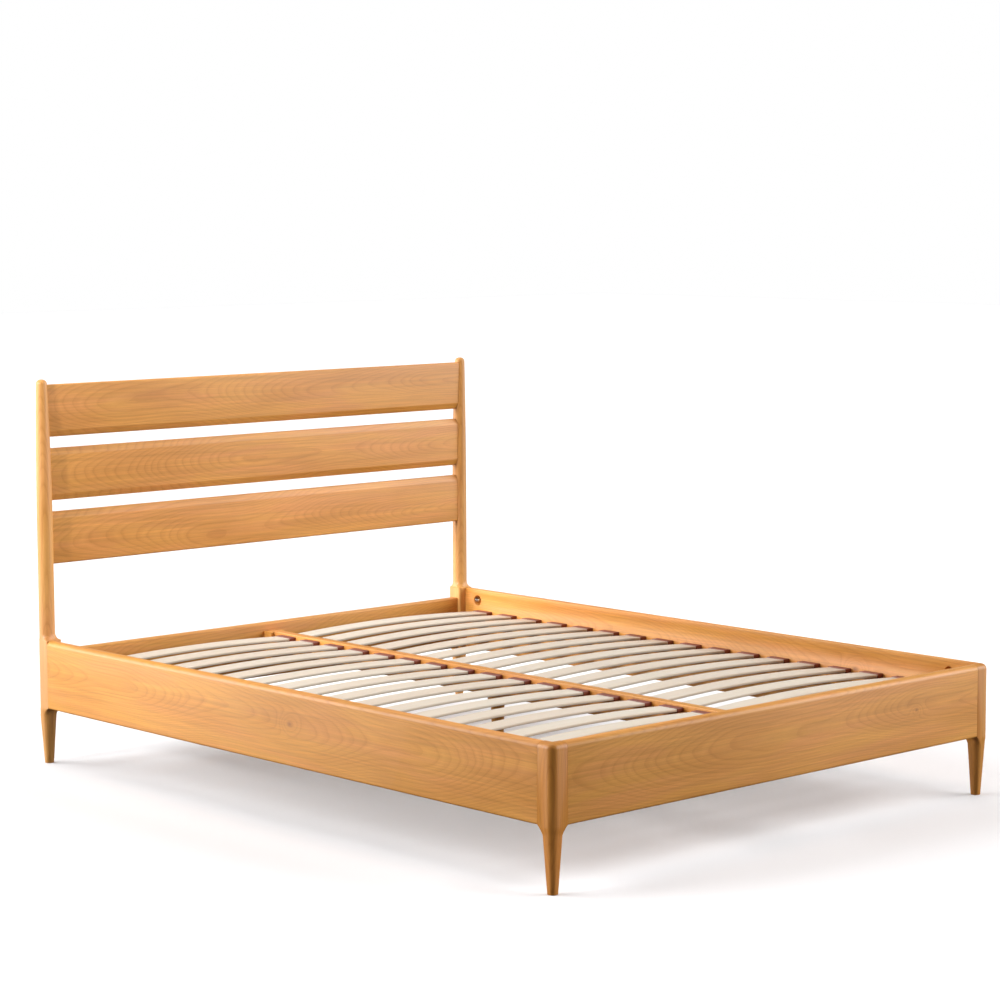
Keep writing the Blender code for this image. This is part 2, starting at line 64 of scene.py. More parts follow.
# ---------------------------------------------------------------- sizes read from the CAD parts
HALF_W = float(CAD_BOX[1][0])
HALF_L = float(CAD_BOX[1][1])
POST_TOP_Z = float(CAD_BOX[1][2])
FOOT_RAIL = plain(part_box("foot_rail"))
HEAD_RAIL = plain(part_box("head_rail"))
SIDE_RAIL = plain(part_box("side_rail_left"))
CENTRE_RAIL = plain(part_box("centre_rail"))
RAIL_BOTTOM = FOOT_RAIL[0][2]
RAIL_TOP = FOOT_RAIL[1][2]
RAIL_T = SIDE_RAIL[1][0] - SIDE_RAIL[0][0]
BLOCK = float(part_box("foot_post_left")[1][0]) + HALF_W
GAP = 0.0003           # room between pieces that slide into each other
HAIRLINE = 0.00005     # width of a closed joint between two pieces of wood

# ---------------------------------------------------------------- shape details of the wooden pieces
RAIL_TOP_ROUND = 0.014
RAIL_INNER_ROUND = 0.004
RAIL_LOW_ROUND = 0.006
RAIL_END_ROUND = 0.0003
HEAD_BLOCK_Y = 0.058
CORNER_ROUND = 0.020
HEAD_CORNER_ROUND = 0.027
POST_SOFT = 0.006
FOOT_POST_SOFT = 0.0012
HEAD_JOINT_SOFT = 0.0012
HEAD_INNER_BACK_ROUND = 0.018
LEG_CENTRE = 0.0232
LEG_TOP = 0.0425
LEG_FLOOR = 0.0238
LEG_ROUND_SHARE = 0.42
FLARE_H = 0.023
FOOT_CHAMFER = 0.0015
NOTCH_Z = 0.304
POST_R = 0.0218
POST_TOP_R = 0.0148
POST_TAPER_Z = 0.620
POST_TAPER_POWER = 2.4
POST_AXIS_X = 0.0218
POST_AXIS_TOP_X = 0.0188
POST_AXIS_Y = 0.0278
POST_AXIS_TOP_Y = 0.0295
POST_FILLET = 0.020
POST_DOME_H = 0.013
ROUND_SHARE = 0.985
DOME_SHARE = 0.9
PLANK_BEVEL_H = 0.018
PLANK_BEVEL_D = 0.008
PLANK_SOFT = 0.003
PLANK_EDGE_ROUND = 0.0015
PLANK_EDGE_ANGLE = 12
CENTRE_RAIL_ROUND = 0.003
SOCKET_ROUND = 0.0012
LEDGER_ROUND = 0.002

# the turned centre leg: foot, taper, cove and collar; each H is a height and each FROM_TOP a depth
TURNED_FOOT_R = 0.013
TURNED_FOOT_H = 0.002
TURNED_FOOT_ROUND = ((0.0015, 0.0), (0.0004, 0.0006))    # inset from the foot's radius, and height
TURNED_TAPER = 0.006
TURNED_COVE = 0.005
TURNED_COVE_H = 0.006
TURNED_COVE_FROM_TOP = 0.020
TURNED_COLLAR_H = 0.012
TURNED_COLLAR_ROUND = 0.003

# bolt pockets and bed bolts
POCKET_R = 0.0165
POCKET_DEPTH = 0.019
POCKET_Z = 0.319
POCKET_FROM_END = 0.116
BOLT_X = 0.0145
BOLT_R = 0.004
BOLT_HOLE_R = 0.0048
BOLT_FROM_END = 0.020
WASHER_R = 0.008
WASHER_T = 0.002
WASHER_EDGE = 0.0003
HEX_ACROSS = 0.013
HEX_T = 0.0055
HEX_CHAMFER = 0.0009
HEX_CHAMFER_H = 0.0007
THREAD_TURNS = 18
THREAD_DEPTH = 0.0005
THREAD_STICKS_OUT = 0.004

# slats and their caps
SLATS = 16
SLAT_T = 0.008
SLAT_CROWN = 0.0115
SLAT_ROUND = 0.0028
CAP_LENGTH = 0.023
CAP_WALL = 0.0015
CAP_ROUND = 0.0022
CAP_EDGE = 0.0008
CAP_MOUTH_EDGE = 0.0005

CUT_OVER = 0.010       # how far a cutting body reaches past the wood
ARC_STEPS = 8
SHARP = math.radians(34)    # edges that turn by more than this are not shaded smooth
SIDES = (("left", 1), ("right", -1))


# ---------------------------------------------------------------- mesh helpers
def arc(centre, radius, start, end, steps):
    """Points on an arc from the start angle to the end angle, in degrees."""
    points = []
    for i in range(steps + 1):
        angle = math.radians(start + (end - start) * i / steps)
        points.append((centre[0] + radius * math.cos(angle), centre[1] + radius * math.sin(angle)))
    return points


def rounded_rect(x0, x1, y0, y1, radii, steps=ARC_STEPS):
    """An outline with its own radius at each corner: (x0, y0), (x1, y0), (x1, y1), (x0, y1)."""
    signs = ((x0, y0, 1, 1, 180), (x1, y0, -1, 1, 270), (x1, y1, -1, -1, 0), (x0, y1, 1, -1, 90))
    outline = []
    for (x, y, sx, sy, start), radius in zip(signs, radii):
        outline += arc((x + sx * radius, y + sy * radius), radius, start, start + 90, steps)
    return outline


def ring(axis, centre, radius, place, steps):
    """A circle round an axis, at a place along it."""
    loop = []
    for i in range(steps):
        angle = 2 * math.pi * (i + 0.5) / steps
        a = centre[0] + radius * math.cos(angle)
        b = centre[1] + radius * math.sin(angle)
        loop.append({"X": (place, a, b), "Y": (a, place, b), "Z": (a, b, place)}[axis])
    return loop


def skin(bm, loops):
    """Adds one closed body skinned over the loops."""
    rings = [[bm.verts.new(point) for point in loop] for loop in loops]
    for low, high in zip(rings, rings[1:]):
        for i in range(len(low)):
            j = (i + 1) % len(low)
            bm.faces.new((low[i], low[j], high[j], high[i]))
    bm.faces.new(list(reversed(rings[0])))
    bm.faces.new(rings[-1])


def bodies(many):
    """One bmesh with a closed body for each list of loops."""
    bm = bmesh.new()
    for loops in many:
        skin(bm, loops)
    bmesh.ops.recalc_face_normals(bm, faces=bm.faces)
    return bm


def body(loops):
    return bodies([loops])


def mirrored(loops, mirror):
    """The loops as they are for mirror 1, and on the other side of X = 0 for -1."""
    return [[(mirror * x, y, z) for x, y, z in loop] for loop in loops]


def bar_x(outline, x0, x1, mirror=1):
    """An outline of (y, z) points drawn out along X."""
    return body([[(mirror * x, y, z) for y, z in outline] for x in (x0, x1)])


def bar_y(outline, y0, y1, mirror=1):
    """An outline of (x, z) points drawn out along Y."""
    return body([[(mirror * x, y, z) for x, z in outline] for y in (y0, y1)])


def raw_object(name, bm):
    mesh = bpy.data.meshes.new(name)
    bm.to_mesh(mesh)
    bm.free()
    obj = bpy.data.objects.new(name, mesh)
    bpy.context.scene.collection.objects.link(obj)
    return obj


def bake_modifiers(obj):
    """Replaces the object's mesh by what its modifiers make of it."""
    bpy.context.view_layer.update()
    shaped = bpy.data.meshes.new_from_object(obj.evaluated_get(bpy.context.evaluated_depsgraph_get()))
    old = obj.data
    obj.modifiers.clear()
    obj.data = shaped
    bpy.data.meshes.remove(old)


def cut(obj, tools):
    """Cuts each bmesh in tools out of the object."""
    for i, bm in enumerate(tools):
        tool = raw_object(f"tool_{i}", bm)
        modifier = obj.modifiers.new("cut", "BOOLEAN")
        modifier.operation = "DIFFERENCE"
        modifier.solver = "EXACT"
        modifier.object = tool
        bake_modifiers(obj)
        bpy.data.objects.remove(tool)


def soften(obj, width, segments=2, angle=40):
    """Rounds the sharp edges a little, so they catch light."""
    modifier = obj.modifiers.new("soft_edges", "BEVEL")
    modifier.width = width
    modifier.segments = segments
    modifier.limit_method = "ANGLE"
    modifier.angle_limit = math.radians(angle)
    modifier.harden_normals = False
    modifier.use_clamp_overlap = True
    bake_modifiers(obj)


def finish_piece(obj, material, slot, *stands_for):
    """Gives a piece its material and shading, hangs it under the root body, and hides the CAD nodes that it
    stands for.
    """
    mesh = obj.data
    mesh.materials.clear()
    mesh.materials.append(material)
    mesh.shade_smooth()
    mesh.set_sharp_from_angle(angle=SHARP)
    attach(obj, "root")
    if stands_for:
        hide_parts(*stands_for)
    return obj


# ---------------------------------------------------------------- shader helpers
class Shader:
    """A material's node tree, built by naming what feeds each socket."""

    def __init__(self, name):
        self.material = bpy.data.materials.new(name)
        self.material.use_nodes = True
        self.nodes = self.material.node_tree.nodes
        self.links = self.material.node_tree.links
        self.principled = self.nodes["Principled BSDF"]

    def add(self, kind, **settings):
        node = self.nodes.new(kind)
        for key, value in settings.items():
            setattr(node, key, value)
        return node

    def feed(self, socket, value):
        if isinstance(value, bpy.types.NodeSocket):
            self.links.new(value, socket)
        else:
            socket.default_value = value

    def maths(self, operation, a, b=0.0, c=0.0, clamp=False):
        node = self.add("ShaderNodeMath", operation=operation, use_clamp=clamp)
        for socket, value in zip(node.inputs, (a, b, c)):
            self.feed(socket, value)
        return node.outputs[0]

    def stretch(self, a, c, d, along, across):
        """Coordinates scaled by along on the grain's axis and by across on the other two."""
        return self.combine(self.maths("MULTIPLY", a, along), self.maths("MULTIPLY", c, across),
                            self.maths("MULTIPLY", d, across))

    def combine(self, x, y, z):
        node = self.add("ShaderNodeCombineXYZ")
        for socket, value in zip(node.inputs, (x, y, z)):
            self.feed(socket, value)
        return node.outputs[0]

    def noise(self, vector, scale=1.0, detail=2.0, rough=0.5):
        node = self.add("ShaderNodeTexNoise")
        self.feed(node.inputs["Vector"], vector)
        node.inputs["Scale"].default_value = scale
        node.inputs["Detail"].default_value = detail
        node.inputs["Roughness"].default_value = rough
        return node

    def ramp(self, value, stops, interpolation="EASE"):
        node = self.add("ShaderNodeValToRGB")
        node.color_ramp.interpolation = interpolation
        elements = node.color_ramp.elements
        while len(elements) < len(stops):
            elements.new(0.5)
        for element, (position, colour) in zip(elements, stops):
            element.position = position
            element.color = colour if len(colour) == 4 else (*colour, 1.0)
        self.feed(node.inputs[0], value)
        return node.outputs[0]

    def mix(self, factor, a, b, blend="MIX"):
        node = self.add("ShaderNodeMix", data_type="RGBA", blend_type=blend)
        self.feed(node.inputs[0], factor)
        self.feed(node.inputs[6], a if isinstance(a, bpy.types.NodeSocket) else (*a, 1.0))
        self.feed(node.inputs[7], b if isinstance(b, bpy.types.NodeSocket) else (*b, 1.0))
        return node.outputs[2]

    def bump(self, height, strength, distance):
        node = self.add("ShaderNodeBump")
        node.inputs["Strength"].default_value = strength
        node.inputs["Distance"].default_value = distance
        self.feed(node.inputs["Height"], height)
        self.feed(self.principled.inputs["Normal"], node.outputs[0])

    def place(self, centre, along):
        """Object coordinates from the centre, as (along the grain, first across, second across)."""
        coord = self.add("ShaderNodeTexCoord")
        split = self.add("ShaderNodeSeparateXYZ")
        self.links.new(coord.outputs["Object"], split.inputs[0])
        order = {"X": (0, 2, 1), "Y": (1, 2, 0), "Z": (2, 0, 1)}[along]
        return [self.maths("SUBTRACT", split.outputs[i], centre[i]) for i in order]


# colours are linear; a tint multiplies the wood's colour
OAK_LIGHT = (0.690, 0.318, 0.067)
OAK_PINK = (0.690, 0.294, 0.079)
OAK_MID = (0.600, 0.257, 0.049)
OAK_DARK = (0.380, 0.128, 0.020)
KNOT_BROWN = (0.240, 0.074, 0.018)
RAIL_TINT = (1.0, 1.0, 1.0)
# painted light: the headboard posts get a paler, brighter copy of the oak, standing in for the light that
# falls on them
HEAD_POST_LIGHT_TINT = (1.0, 1.08, 1.45)
# painted shade: the foot posts get darker copies of the oak, the near left one darkest, standing in for the
# shade on them
FOOT_POST_SHADE_TINTS = {"left": (0.78, 0.70, 0.50), "right": (0.92, 0.87, 0.74)}
BIRCH_PALE = (0.650, 0.590, 0.500)
BIRCH_WARM = (0.635, 0.550, 0.455)
BIRCH_GRAIN = (0.700, 0.540, 0.380)
BIRCH_EDGE = (0.520, 0.380, 0.240)
CAP_DEEP = (0.165, 0.040, 0.026)
CAP_BRIGHT = (0.225, 0.060, 0.040)
ZINC_DARK = (0.36, 0.34, 0.30)
ZINC_BRIGHT = (0.62, 0.60, 0.55)
FLOOR_WHITE = (0.90, 0.89, 0.90, 1.0)

# growth rings, in metres: how much the pith wanders and leans along the board, and how uneven rings are
RING_GAP = 0.0042
RING_WARP = 0.008
PITH_WANDER_C = 0.10
PITH_WANDER_D = 0.12
PITH_LEAN = 0.08

# noise in the oak: cells per metre along and across the grain, detail, roughness, offset of its seed
FIGURES = {
    "warp": (4.0, 12.0, 4.0, 0.45, 0.0),
    "fibre": (6.0, 260.0, 3.0, 0.6, 0.0),
    "streak": (2.2, 110.0, 3.0, 0.6, 23.0),
    "pores": (55.0, 1300.0, 1.0, 0.5, 3.0),
    "broad": (2.4, 13.0, 3.0, 0.55, 9.0),
    "warm": (3.1, 22.0, 2.0, 0.5, 17.0),
}

# knots: length over width, how far the rings swirl round them, and how fast swirl and colour fall off
KNOT_STRETCH = 1.6
KNOT_SWIRL = 3.0
KNOT_SWIRL_FALL = 0.06
KNOT_COLOUR_FALL = 1.1


def oak_board(name, centre, along, pith=(0.03, -0.09), seed=0.0, tint=RAIL_TINT, knots=()):
    """Flat-sawn oak: growth rings round a pith outside the board, pores, fibre and small knots.

    pith gives the pith's two cross-grain distances from the board's centre, and each knot is
    (along, first across, radius) from that centre.
    """
    s = Shader(name)
    a, c, d = s.place(centre, along)

    def figure(kind):
        """The output of one noise of the oak, stretched along the grain."""
        long, wide, detail, rough, offset = FIGURES[kind]
        at = shifted(s, s.stretch(a, c, d, long, wide), seed + offset)
        return s.noise(at, detail=detail, rough=rough).outputs[0]

    drift = s.noise(s.combine(s.maths("MULTIPLY", a, 1.3), seed, 0.0), detail=1.0)
    drift_split = s.add("ShaderNodeSeparateColor")
    s.links.new(drift.outputs["Color"], drift_split.inputs[0])
    wander_c = s.maths("MULTIPLY", s.maths("SUBTRACT", drift_split.outputs[0], 0.5), PITH_WANDER_C)
    wander_d = s.maths("MULTIPLY", s.maths("SUBTRACT", drift_split.outputs[1], 0.5), PITH_WANDER_D)
    c_pith = s.maths("ADD", s.maths("SUBTRACT", c, pith[0]), wander_c)
    lean = s.maths("MULTIPLY_ADD", a, PITH_LEAN, -pith[1])
    d_pith = s.maths("ADD", s.maths("ADD", d, lean), wander_d)
    squares = s.maths("ADD", s.maths("MULTIPLY", c_pith, c_pith), s.maths("MULTIPLY", d_pith, d_pith))
    radius = s.maths("SQRT", squares)
    warp_by = s.maths("MULTIPLY", s.maths("SUBTRACT", figure("warp"), 0.5), RING_WARP)
    radius = s.maths("ADD", radius, warp_by)
    knot_mask = 0.0
    for at, across, size in knots:
        da = s.maths("DIVIDE", s.maths("SUBTRACT", a, at), size * KNOT_STRETCH)
        dc = s.maths("DIVIDE", s.maths("SUBTRACT", c, across), size)
        spread = s.maths("ADD", s.maths("MULTIPLY", da, da), s.maths("MULTIPLY", dc, dc))
        swirl = s.maths("EXPONENT", s.maths("MULTIPLY", spread, -KNOT_SWIRL_FALL))
        radius = s.maths("ADD", radius, s.maths("MULTIPLY", swirl, size * KNOT_SWIRL))
        heart = s.maths("EXPONENT", s.maths("MULTIPLY", spread, -KNOT_COLOUR_FALL))
        knot_mask = s.maths("ADD", knot_mask, heart, clamp=True)

    # uneven ring widths: the count of rings speeds up and slows down with the radius
    uneven = s.noise(s.combine(s.maths("MULTIPLY", radius, 60.0), seed, 0.0), detail=1.0)
    count = s.maths("ADD", s.maths("DIVIDE", radius, RING_GAP), s.maths("MULTIPLY", uneven.outputs[0], 1.6))
    rings = s.maths("FRACT", count)
    late = s.ramp(rings, ((0.0, (0.30,) * 3), (0.30, (0.0,) * 3), (0.72, (0.35,) * 3), (0.93, (1.0,) * 3)))
    fine_rings = s.maths("PINGPONG", s.maths("MULTIPLY", count, 3.0), 1.0)

    fibre = figure("fibre")
    streak = figure("streak")
    pores = figure("pores")
    pore_mask = s.ramp(pores, ((0.58, (0.0,) * 3), (0.70, (1.0,) * 3)), "LINEAR")
    broad = figure("broad")
    warm = figure("warm")

    light = s.mix(s.ramp(warm, ((0.38, (0.0,) * 3), (0.66, (1.0,) * 3))), OAK_LIGHT, OAK_PINK)
    base = s.mix(s.ramp(broad, ((0.36, (0.0,) * 3), (0.70, (0.85,) * 3))), light, OAK_MID)
    ring_depth = s.maths("MULTIPLY", late, s.maths("MULTIPLY_ADD", broad, 0.42, 0.06))
    base = s.mix(ring_depth, base, OAK_DARK)
    base = s.mix(s.maths("MULTIPLY", fine_rings, 0.06), base, OAK_DARK)
    fibre_tone = s.ramp(fibre, ((0.28, (0.90,) * 3), (0.72, (1.07,) * 3)), "LINEAR")
    base = s.mix(1.0, base, fibre_tone, "MULTIPLY")
    streak_tone = s.ramp(streak, ((0.30, (0.87, 0.86, 0.82)), (0.68, (1.06,) * 3)), "LINEAR")
    base = s.mix(1.0, base, streak_tone, "MULTIPLY")
    base = s.mix(s.maths("MULTIPLY", pore_mask, 0.22), base, OAK_DARK)
    if knots:
        base = s.mix(s.maths("MULTIPLY", knot_mask, 0.75), base, KNOT_BROWN)
    # the tint multiplies the colour; on the headboard posts it is painted light, on the foot posts painted
    # shade
    base = s.mix(1.0, base, tint, "MULTIPLY")
    s.feed(s.principled.inputs["Base Color"], base)
    s.feed(s.principled.inputs["Roughness"], s.maths("MULTIPLY_ADD", fibre, 0.16, 0.34))
    s.principled.inputs["Specular IOR Level"].default_value = 0.35
    s.principled.inputs["Coat Weight"].default_value = 0.05
    s.principled.inputs["Coat Roughness"].default_value = 0.30
    height = s.maths("MULTIPLY", fibre, 0.5)
    height = s.maths("SUBTRACT", height, s.maths("MULTIPLY", pore_mask, 0.6))
    s.bump(s.maths("SUBTRACT", height, s.maths("MULTIPLY", late, 0.15)), 0.22, 0.0003)
    return s.material


def shifted(s, vector, amount):
    """The coordinates moved to a part of the noise that is the piece's own."""
    node = s.add("ShaderNodeVectorMath", operation="ADD")
    s.links.new(vector, node.inputs[0])
    node.inputs[1].default_value = (amount * 1.7, amount * 3.1, amount * 5.3)
    return node.outputs[0]


def birch_slats(name, pitch, first_y):
    """Bent birch: pale, faint grain, and a slightly different tone for every slat."""
    s = Shader(name)
    a, d, c = s.place((0.0, 0.0, 0.0), "X")
    row = s.maths("FLOOR", s.maths("DIVIDE", s.maths("SUBTRACT", c, first_y - pitch / 2), pitch))
    half = s.maths("SIGN", a)
    own = s.add("ShaderNodeTexWhiteNoise", noise_dimensions="2D")
    s.links.new(s.combine(row, half, 0.0), own.inputs["Vector"])
    wave_at = s.combine(s.maths("MULTIPLY", a, 2.2), s.maths("MULTIPLY", c, 46.0),
                        s.maths("MULTIPLY", own.outputs[0], 40.0))
    wave = s.noise(wave_at, detail=3.0, rough=0.6)
    fibre_at = s.stretch(a, c, d, 9.0, 520.0)
    fibre = s.noise(fibre_at, detail=2.0)
    base = s.mix(own.outputs[0], BIRCH_PALE, BIRCH_WARM)
    grain = s.ramp(wave.outputs[0], ((0.35, (0.0,) * 3), (0.62, (1.0,) * 3)))
    base = s.mix(s.maths("MULTIPLY", grain, 0.20), base, BIRCH_GRAIN)
    tone = s.ramp(fibre.outputs[0], ((0.25, (0.93,) * 3), (0.75, (1.04,) * 3)), "LINEAR")
    base = s.mix(1.0, base, tone, "MULTIPLY")
    layer = s.add("ShaderNodeAttribute", attribute_name="ply")
    plies = s.maths("PINGPONG", s.maths("MULTIPLY", layer.outputs["Fac"], 7.0), 1.0)
    geometry = s.add("ShaderNodeNewGeometry")
    normal = s.add("ShaderNodeSeparateXYZ")
    s.links.new(geometry.outputs["Normal"], normal.inputs[0])
    edge = s.ramp(s.maths("ABSOLUTE", normal.outputs[2]), ((0.25, (1.0,) * 3), (0.60, (0.0,) * 3)))
    edge_tone = s.maths("MULTIPLY", edge, s.maths("MULTIPLY_ADD", plies, 0.35, 0.15))
    base = s.mix(edge_tone, base, BIRCH_EDGE)
    s.feed(s.principled.inputs["Base Color"], base)
    s.feed(s.principled.inputs["Roughness"], s.maths("MULTIPLY_ADD", fibre.outputs[0], 0.2, 0.42))
    s.principled.inputs["Specular IOR Level"].default_value = 0.35
    s.bump(fibre.outputs[0], 0.15, 0.0003)
    return s.material


def moulded_plastic(name):
    s = Shader(name)
    coord = s.add("ShaderNodeTexCoord")
    fine = s.noise(coord.outputs["Object"], scale=900.0, detail=2.0)
    broad = s.noise(coord.outputs["Object"], scale=24.0, detail=2.0)
    colour = s.ramp(broad.outputs[0], ((0.3, CAP_DEEP), (0.7, CAP_BRIGHT)))
    s.feed(s.principled.inputs["Base Color"], colour)
    s.feed(s.principled.inputs["Roughness"], s.maths("MULTIPLY_ADD", broad.outputs[0], 0.2, 0.38))
    s.bump(fine.outputs[0], 0.2, 0.0002)
    return s.material


def zinc_steel(name):
    s = Shader(name)
    coord = s.add("ShaderNodeTexCoord")
    spangle = s.noise(coord.outputs["Object"], scale=420.0, detail=3.0)
    colour = s.ramp(spangle.outputs[0], ((0.3, ZINC_DARK), (0.7, ZINC_BRIGHT)))
    s.feed(s.principled.inputs["Base Color"], colour)
    s.principled.inputs["Metallic"].default_value = 1.0
    s.feed(s.principled.inputs["Roughness"], s.maths("MULTIPLY_ADD", spangle.outputs[0], 0.25, 0.22))
    s.bump(spangle.outputs[0], 0.15, 0.0002)
    return s.material


# ---------------------------------------------------------------- posts
def leg_side(z):
    """Width of the tapered leg at a height."""
    return LEG_FLOOR + (LEG_TOP - LEG_FLOOR) * z / (RAIL_BOTTOM - FLARE_H)


def leg_loops(end_y, towards, block_y, block_radii):
    """Sections of a leg on the -X side, floor to block; towards is +1 at the foot end."""
    loops = []
    flare_z = RAIL_BOTTOM - FLARE_H
    stations = []
    for i in range(4):
        angle = math.pi / 2 * i / 3
        side = leg_side(0) - 2 * FOOT_CHAMFER * (1 - math.sin(angle))
        stations.append((FOOT_CHAMFER * (1 - math.cos(angle)), side, 0.0))
    stations += [(flare_z * i / 8, leg_side(flare_z * i / 8), 0.0) for i in range(1, 9)]
    for i in range(1, 13):
        share = math.sin(math.pi / 2 * i / 12)
        stations.append((flare_z + FLARE_H * share, LEG_TOP, 1 - math.sqrt(max(0.0, 1 - share * share))))
    for z, side, spread in stations:
        blend = max(0.0, (z - flare_z) / FLARE_H)
        radii = [LEG_ROUND_SHARE * side * (1 - blend) + radius * blend for radius in block_radii]
        near = (LEG_CENTRE - side / 2) * (1 - blend * blend * (3 - 2 * blend))
        far_x = (LEG_CENTRE + side / 2) * (1 - spread) + BLOCK * spread
        far_y = (LEG_CENTRE + side / 2) * (1 - spread) + block_y * spread
        ys = sorted((end_y + towards * near, end_y + towards * far_y))
        outline = rounded_rect(-HALF_W + near, -HALF_W + far_x, ys[0], ys[1], radii)
        loops.append([(x, y, z) for x, y in outline])
    return loops


def box_loops(low, high):
    return [[(x, low[1], low[2]), (x, high[1], low[2]), (x, high[1], high[2]), (x, low[1], high[2])]
            for x in (low[0], high[0])]


def foot_post_loops():
    radii = (CORNER_ROUND, FOOT_POST_SOFT, FOOT_POST_SOFT, FOOT_POST_SOFT)
    loops = leg_loops(-HALF_L, 1, BLOCK, radii)
    for i in range(ARC_STEPS + 1):
        angle = math.pi / 2 * i / ARC_STEPS
        inset = RAIL_TOP_ROUND * (1 - math.cos(angle))
        z = RAIL_TOP - RAIL_TOP_ROUND * (1 - math.sin(angle))
        outline = rounded_rect(-HALF_W + inset, -HALF_W + BLOCK, -HALF_L + inset, -HALF_L + BLOCK,
                               (CORNER_ROUND - inset, *radii[1:]))
        loops.append([(x, y, z) for x, y in outline])
    return loops


def post_axis(z):
    """Distances of a headboard post's axis from the outer and back faces, and its radius."""
    taper = max(0.0, (z - POST_TAPER_Z) / (POST_TOP_Z - POST_TAPER_Z)) ** POST_TAPER_POWER
    return (POST_AXIS_X + (POST_AXIS_TOP_X - POST_AXIS_X) * taper,
            POST_AXIS_Y + (POST_AXIS_TOP_Y - POST_AXIS_Y) * taper,
            POST_R + (POST_TOP_R - POST_R) * taper)


def post_section(z, radius):
    """A nearly round section of a headboard post, on its axis at that height."""
    axis_x, axis_y, _ = post_axis(z)
    x, y = -HALF_W + axis_x, HALF_L - axis_y
    corners = (ROUND_SHARE * radius,) * 4
    return [(px, py, z) for px, py in rounded_rect(x - radius, x + radius, y - radius, y + radius, corners)]


def head_post_loops():
    radii = (HEAD_JOINT_SOFT, POST_SOFT, HEAD_INNER_BACK_ROUND, HEAD_CORNER_ROUND)
    loops = leg_loops(HALF_L, -1, HEAD_BLOCK_Y, radii)
    block = rounded_rect(-HALF_W, -HALF_W + BLOCK, HALF_L - HEAD_BLOCK_Y, HALF_L, radii)
    for i in range(2 * ARC_STEPS + 1):
        angle = math.pi / 2 * i / (2 * ARC_STEPS)
        z = RAIL_TOP + POST_FILLET * (1 - math.cos(angle))
        blend = math.sin(angle)
        loops.append([(x0 + (x1 - x0) * blend, y0 + (y1 - y0) * blend, z)
                      for (x0, y0), (x1, y1, _) in zip(block, post_section(z, POST_R))])
    start_z = RAIL_TOP + POST_FILLET
    dome_z = POST_TOP_Z - POST_DOME_H
    for i in range(1, 25):
        z = start_z + (dome_z - start_z) * i / 24
        loops.append(post_section(z, post_axis(z)[2]))
    for i in range(1, ARC_STEPS + 1):
        angle = math.pi / 2 * i / ARC_STEPS
        z = dome_z + POST_DOME_H * math.sin(angle)
        loops.append(post_section(z, post_axis(dome_z)[2] * (1 - DOME_SHARE * (1 - math.cos(angle)))))
    return loops


# ---------------------------------------------------------------- rails and planks
def rail_profile():
    """Distance in from the outer face, and height."""
    profile = arc((RAIL_LOW_ROUND, RAIL_BOTTOM + RAIL_LOW_ROUND), RAIL_LOW_ROUND, 270, 180, ARC_STEPS)
    profile += arc((RAIL_TOP_ROUND, RAIL_TOP - RAIL_TOP_ROUND), RAIL_TOP_ROUND, 180, 90, ARC_STEPS * 2)
    inner = (RAIL_T - RAIL_INNER_ROUND, RAIL_TOP - RAIL_INNER_ROUND)
    profile += arc(inner, RAIL_INNER_ROUND, 90, 0, ARC_STEPS)
    profile += [(RAIL_T, RAIL_BOTTOM)]
    return profile


def plank_profile(box, bevel_low, bevel_high, grow=0.0):
    """Section of a plank as (y, z), bevelled at the front where it faces a slot."""
    front, back = box[0][1] - grow, box[1][1] + grow
    low, high = box[0][2] - grow, box[1][2] + grow
    low_d, low_h = (PLANK_BEVEL_D, PLANK_BEVEL_H) if bevel_low else (PLANK_SOFT, PLANK_SOFT)
    high_d, high_h = (PLANK_BEVEL_D, PLANK_BEVEL_H) if bevel_high else (PLANK_SOFT, PLANK_SOFT)
    return [(front + low_d, low), (back - PLANK_SOFT, low), (back, low + PLANK_SOFT),
            (back, high - PLANK_SOFT), (back - PLANK_SOFT, high), (front + high_d, high),
            (front, high - high_h), (front, low + low_h)]


PLANKS = (("bottom", False, True), ("middle", True, True), ("top", True, False))
FOOT_JOINT_Y = HALF_L - BLOCK - HAIRLINE
HEAD_JOINT_Y = HALF_L - HEAD_BLOCK_Y - HAIRLINE
JOINT_X = HALF_W - BLOCK - HAIRLINE

# headboard posts, with the housings that take the planks
housings = {}
for name, bevel_low, bevel_high in PLANKS:
    housings[name] = (plain(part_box(f"headboard_plank_{name}")), bevel_low, bevel_high)
for side, mirror in SIDES:
    post = raw_object(f"headboard_post_{side}_oak", body(mirrored(head_post_loops(), mirror)))
    tools = []
    for plank, bevel_low, bevel_high in housings.values():
        outline = plank_profile(plank, bevel_low, bevel_high, GAP)
        reach = plank[0][0] - GAP
        tools.append(bar_x(outline, reach, reach + 2 * BLOCK, mirror))
    cut(post, tools)
    centre = (mirror * (-HALF_W + BLOCK / 2), HALF_L - BLOCK / 2, POST_TOP_Z / 2)
    # painted light: the tint makes the headboard posts' oak paler and brighter
    grain = oak_board(f"oak_headboard_post_{side}", centre, "Z", pith=(0.06, 0.11), seed=11.0 + mirror,
                      tint=HEAD_POST_LIGHT_TINT)
    finish_piece(post, grain, "oak", f"headboard_post_{side}")

for side, mirror in SIDES:
    post = raw_object(f"foot_post_{side}_oak", body(mirrored(foot_post_loops(), mirror)))
    low = (-HALF_W + RAIL_T, -HALF_L + RAIL_T, NOTCH_Z)
    high = (-HALF_W + BLOCK + CUT_OVER, -HALF_L + BLOCK + CUT_OVER, RAIL_TOP + CUT_OVER)
    cut(post, [body(mirrored(box_loops(low, high), mirror))])
    centre = (mirror * (-HALF_W + BLOCK / 2), -HALF_L + BLOCK / 2, RAIL_TOP / 2)
    # painted shade: the tint darkens the foot posts' oak, the left one most
    grain = oak_board(f"oak_foot_post_{side}", centre, "Z", pith=(0.08, 0.05), seed=21.0 + mirror,
                      tint=FOOT_POST_SHADE_TINTS[side])
    finish_piece(post, grain, "oak", f"foot_post_{side}")

